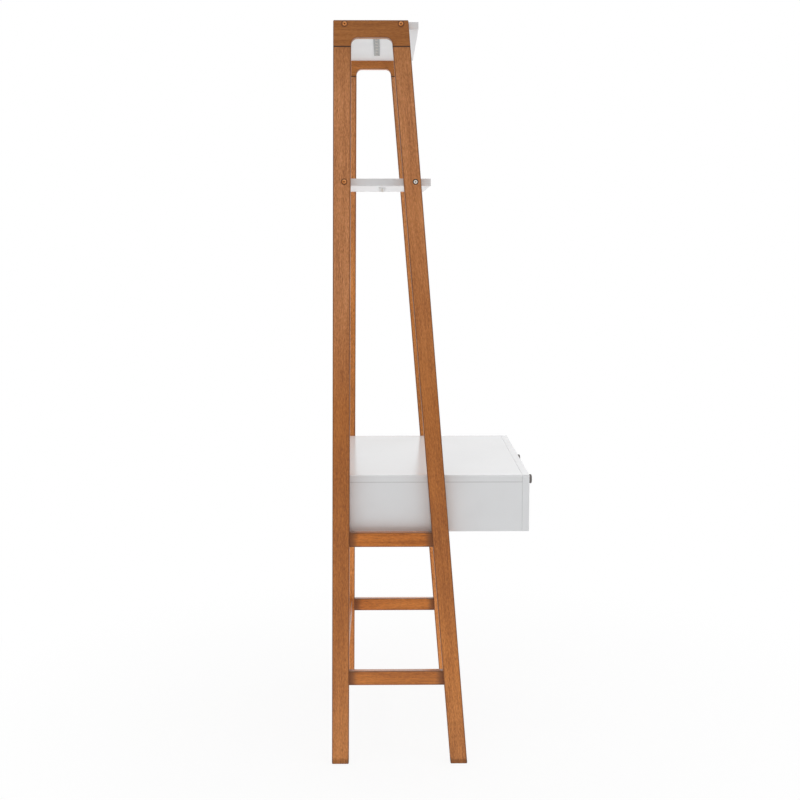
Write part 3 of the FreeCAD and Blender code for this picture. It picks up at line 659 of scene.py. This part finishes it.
def metal(name, bright, dull, rough, lines=(1.0, 1.0, 1.0), scale=900.0, relief=0.05, head_face=None,
          painted_shading=False):
    """A metal with a cloudy sheen and fine lines; lines stretches them along one axis.

    head_face is how far out the face of a bolt head lies, and the socket sunk behind it gets painted shade.
    With painted_shading the copper gets a painted highlight on the rim that looks up and painted shade on the
    rim that looks down.
    """
    plate = Finish(name)
    where = plate.spot()
    drawn = plate.noise(plate.stretched(where, lines), scale, roughness=0.6)
    sheen = plate.noise(where, scale=160.0, detail=3.0, roughness=0.6)
    colour = plate.mix(plate.rise(sheen, low=0.35, high=0.70), (*bright, 1.0), (*dull, 1.0))
    # Painted highlight where the head looks up, painted shade where it looks down.
    if painted_shading:
        upward = plate.facing("Z")
        colour = plate.mix(plate.rise(upward, SHADING_START, SHADING_FULL), colour, COPPER_PAINTED_HIGHLIGHT)
        colour = plate.mix(1.0 - plate.rise(upward, -SHADING_FULL, -SHADING_START), colour, COPPER_PAINTED_SHADE)
    # Painted shade in the socket behind the face of the head.
    if head_face:
        sunk = head_face - abs(plate.part(where, "X"))
        socket_shade_colour = tuple(part * SOCKET_SHADE for part in dull)
        colour = plate.mix(plate.rise(sunk, SOCKET_START, SOCKET_DEEP), colour, (*socket_shade_colour, 1.0))
    plate.set(
        Base_Color=colour,
        Metallic=1.0,
        Roughness=rough + sheen * SHEEN_DULLS + drawn * LINES_DULL,
        Normal=plate.bump(drawn, relief, distance=0.0002),
    )
    return plate


print("a metal is ready to be plated")

# %% [markdown]
# The bars under the shelves run from side to side and the slides from front to back, and their drawn lines
# follow them.
# The bar under the top shelf looks darker than the one under the middle shelf; both are the same steel, and
# the paler grey of the lower bar is a painted reflection of the white floor.

# %% Plate and polish the metal

DRAWN = 0.03
SLIDE_LINES = {"lines": squeezed("Y", DRAWN), "scale": 700.0, "relief": 0.08}
BAR_LINES = {"lines": squeezed("X", DRAWN), "scale": 700.0, "relief": 0.10}
copper_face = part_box("shelf_bolts")[1].x
bare_face = -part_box("plain_shelf_bolt")[0].x
copper = metal("copper_tone", (0.66, 0.27, 0.10), (0.44, 0.15, 0.04), 0.24, head_face=copper_face, painted_shading=True)
bare_zinc = metal("bare_zinc", (0.82, 0.76, 0.69), (0.66, 0.60, 0.54), 0.22, head_face=bare_face)
zinc = metal("zinc_plate", (0.78, 0.75, 0.70), (0.60, 0.58, 0.54), 0.22)
slide_steel = metal("slide_steel", (0.72, 0.73, 0.74), (0.56, 0.57, 0.58), 0.22, **SLIDE_LINES)
grey_bar = metal("grey_bar", (0.42, 0.43, 0.43), (0.33, 0.34, 0.34), 0.36, **BAR_LINES)
# Painted reflection: the same steel, painted paler under the middle shelf.
bar_painted_reflection = metal("bar_painted_reflection", (0.76, 0.77, 0.77), (0.66, 0.67, 0.67), 0.34, **BAR_LINES)
brass = metal("brass", (0.78, 0.57, 0.26), (0.62, 0.43, 0.18), 0.24)

paint(copper, "shelf_bolts")
paint(bare_zinc, "plain_shelf_bolt")
paint(zinc, "shelf_bar_screws", "case_slide_screws", "drawer_slide_screws", "drawer_front_screws",
      "knob_screws", "stretcher_cam_bolts", "stretcher_cams", "desk_bolts")
channels = [f"{side}_slide_{part}_channel" for side in SIDES for part in ("case", "middle", "drawer")]
paint(slide_steel, *channels)
paint(grey_bar, "top_shelf_bar")
paint(bar_painted_reflection, "middle_shelf_bar")
paint(brass, "shelf_inserts", "leg_inserts")
plated = (copper, bare_zinc, zinc, slide_steel, grey_bar, bar_painted_reflection, brass)
print("metal finishes:", [finish.material.name for finish in plated])

# %% [markdown]
# A bronze knob is nearly black where nobody touches it and rubbed to a greyer tone on its rim.
# Rim and face could be given two materials, with a hard line between them.
# Here the rim is found from the distance to the knob's own axis, which fades and works on any turned piece.

# %% Rub the rims of the knobs

BRONZE = (0.046, 0.042, 0.040, 1.0)
RUBBED = (0.185, 0.166, 0.158, 1.0)
RUB_INSIDE = 0.0010
RUB_BEYOND = 0.0013
RUB_RAGGED = 0.002
RIM_RUBBED = 0.8
PATINA = 0.30
PATINA_DULLS = 0.18
RUBBING_SHINES = 0.06


def bronze_knob(name):
    knob = Finish("bronze_" + name)
    low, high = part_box(name)
    middle = (low + high) / 2
    reach = (high.x - low.x) / 2
    spot = knob.spot()
    radius = ((knob.part(spot, "X") - middle.x) ** 2.0 + (knob.part(spot, "Z") - middle.z) ** 2.0) ** 0.5
    cloud = knob.noise(spot, scale=240.0, detail=3.0, roughness=0.6)
    rim = knob.rise(radius + cloud * RUB_RAGGED, reach - RUB_INSIDE, reach + RUB_BEYOND)
    knob.set(
        Base_Color=knob.mix(rim * RIM_RUBBED, BRONZE, RUBBED),
        Metallic=0.85,
        Roughness=PATINA + cloud * PATINA_DULLS - rim * RUBBING_SHINES,
        Normal=knob.bump(cloud, strength=0.04, distance=0.0003),
    )
    paint(knob, name)


for side in SIDES:
    bronze_knob(side + "_knob")
print("knobs rubbed:", len(SIDES))

# %% [markdown]
# ## Dowels
# Beech dowels hold the frames, the box and the drawer together, and all of them are hidden in their joints.
# They still get bare wood, because a part that is taken apart should not show a grey peg.
# A plain colour would be enough for that, but it costs little to let the flecks run along each peg.

# %% Turn the dowels

BEECH = (0.600, 0.400, 0.230, 1.0)
BEECH_DARK = (0.450, 0.270, 0.130, 1.0)
BEECH_SQUEEZE = 0.05
BARE_WOOD = 0.6
FLECKS_DULL = 0.1


def beech(name, grain):
    peg = Finish("beech_" + name)
    streaky = peg.stretched(peg.spot(), squeezed(grain, BEECH_SQUEEZE))
    fleck = peg.noise(streaky, scale=900.0, roughness=0.6)
    colour = peg.mix(peg.rise(fleck, low=0.4, high=0.7), BEECH, BEECH_DARK)
    peg.set(Base_Color=colour, Roughness=BARE_WOOD + fleck * FLECKS_DULL)
    paint(peg, name)


beech("left_frame_dowels", "Y")
beech("right_frame_dowels", "Y")
beech("stretcher_dowels", "X")
beech("desk_dowels", "X")
beech("drawer_dowels", "X")
bare = [name for name in nodes if not nodes[name].data.materials]
print("dowels done; solids without a finish:", bare)

# %% [markdown]
# ## Floor, light and camera
# The desk stands in a white studio: a pale floor that runs out of sight, under even light from all round.
# The background has to be pure white without more light on the desk, so the floor and the surroundings answer
# camera rays, and reflections, with plain white, and every other ray with a calmer level.
# The floor keeps a share of its real shading, so the shadow under the feet stays.
# A brighter world would be simpler, but it would wash out the white boards.

# %% Lay the floor

FLOOR_SIZE = 60.0
FLOOR_DROP = 0.0006
FLOOR_SHADE = 0.10
SHADE_NEAR = 0.5
SHADE_FAR = 1.6
PURE_WHITE = (1.0, 1.0, 1.0, 1.0)
FLOOR_WHITE = (0.94, 0.94, 0.94, 1.0)


def white_for_lens(finish):
    """One where the lens or a reflection looks, and nought for all other light."""
    lens, mirror, glass = [
        finish.node("ShaderNodeLightPath", out=ray)
        for ray in ("Is Camera Ray", "Is Glossy Ray", "Is Transmission Ray")
    ]
    clamped = {"operation": "ADD", "use_clamp": True}
    return finish.node("ShaderNodeMath", clamped, {0: lens + mirror, 1: glass})


bpy.ops.mesh.primitive_plane_add(size=FLOOR_SIZE, location=(0.0, 0.0, -FLOOR_DROP))
floor = bpy.context.object
floor.name = "studio_floor"

pale = Finish("studio_floor")
pale.set(Base_Color=FLOOR_WHITE, Roughness=0.9, Specular_IOR_Level=0.0)
plain = pale.node("ShaderNodeEmission", None, {"Color": PURE_WHITE, "Strength": 1.0})
from_desk = pale.node("ShaderNodeVectorMath", {"operation": "LENGTH"}, {0: pale.spot()}, out="Value")
shade = FLOOR_SHADE * (1.0 - pale.rise(from_desk, SHADE_NEAR, SHADE_FAR))
surface = pale.node("ShaderNodeMixShader", None, {
    0: white_for_lens(pale) * (1.0 - shade), 1: Wire(pale, pale.shader.outputs[0]), 2: plain,
})
pale.plug(pale.tree.nodes["Material Output"].inputs["Surface"], surface)
floor.data.materials.append(pale.material)
print("floor:", floor.name)

# %% [markdown]
# The surroundings are the world of the scene, which also has nodes, so the same class can write them.
# They give the even light: a quarter of full white is enough to fill the shadows under the shelves.

# %% Light the room

ROOM_LEVEL = 0.24


class Surroundings(Finish):
    """The world's own nodes, written in the same way as a finish."""

    def __init__(self):
        world = bpy.data.worlds.new("studio")
        world.use_nodes = True
        bpy.context.scene.world = world
        self.tree = world.node_tree
        self.background = self.tree.nodes["Background"]


room = Surroundings()
room.plug(room.background.inputs["Color"], PURE_WHITE)
room.plug(room.background.inputs["Strength"], ROOM_LEVEL + white_for_lens(room) * (1.0 - ROOM_LEVEL))
print("room level:", ROOM_LEVEL)

# %% [markdown]
# A wide soft box overhead makes the desk top the brightest face, with no hard shadow.
# A second one lies on the floor and stands for the light that a white floor throws back on the undersides.
# A small one beside the camera lifts the side that faces it.
# Point lamps could be used, but each would leave its own sharp shadow on the boards.

# %% Hang the lamps


def soft_box(name, place, aim, side, watts):
    lamp = bpy.data.lights.new(name, "AREA")
    lamp.shape = "RECTANGLE"
    lamp.size = side
    lamp.size_y = side
    lamp.energy = watts
    box = bpy.data.objects.new(name, lamp)
    bpy.context.scene.collection.objects.link(box)
    box.location = place
    box.rotation_mode = "QUATERNION"
    box.rotation_quaternion = (Vector(aim) - Vector(place)).to_track_quat("-Z", "Y")
    box.visible_camera = False
    box.visible_glossy = False


soft_box("overhead", place=(0.0, -0.4, 4.6), aim=(0.0, 0.0, 0.0), side=6.0, watts=200.0)
soft_box("floor_bounce", place=(0.0, 0.0, 0.01), aim=(0.0, 0.0, 2.0), side=5.0, watts=42.0)
soft_box("side_fill", place=(-3.4, 0.6, 3.0), aim=(0.0, 0.0, 1.5), side=2.0, watts=13.0)

# %% [markdown]
# The photograph was taken from the left side of the desk, a little below the middle shelf's height, and its
# lens looks slightly down on the desk top.
# The lens is a normal one from under four metres, which is why the far frame shows inside the near one.
# The camera is tilted and its lens is shifted only a little, so that it also suits views from other sides.

# %% Set the camera

CAMERA_PLACE = Vector((-3.7200, 0.1325, 1.4086))
CAMERA_DOWN = 0.1139
CAMERA_ASIDE = -0.0125
LENS_MM = 60.13
FILM_MM = 36.0
LENS_SHIFT = -0.03

lens_data = bpy.data.cameras.new("portrait")
lens_data.sensor_width = FILM_MM
lens_data.lens = LENS_MM
lens_data.shift_y = LENS_SHIFT
camera = bpy.data.objects.new("portrait", lens_data)
bpy.context.scene.collection.objects.link(camera)
camera.location = CAMERA_PLACE
level = math.cos(CAMERA_DOWN)
look = Vector((level * math.cos(CAMERA_ASIDE), level * math.sin(CAMERA_ASIDE), -math.sin(CAMERA_DOWN)))
camera.rotation_mode = "QUATERNION"
camera.rotation_quaternion = look.to_track_quat("-Z", "Y")
bpy.context.scene.camera = camera
bpy.context.scene.view_settings.view_transform = "Standard"
print("camera at", [round(part, 3) for part in camera.location])
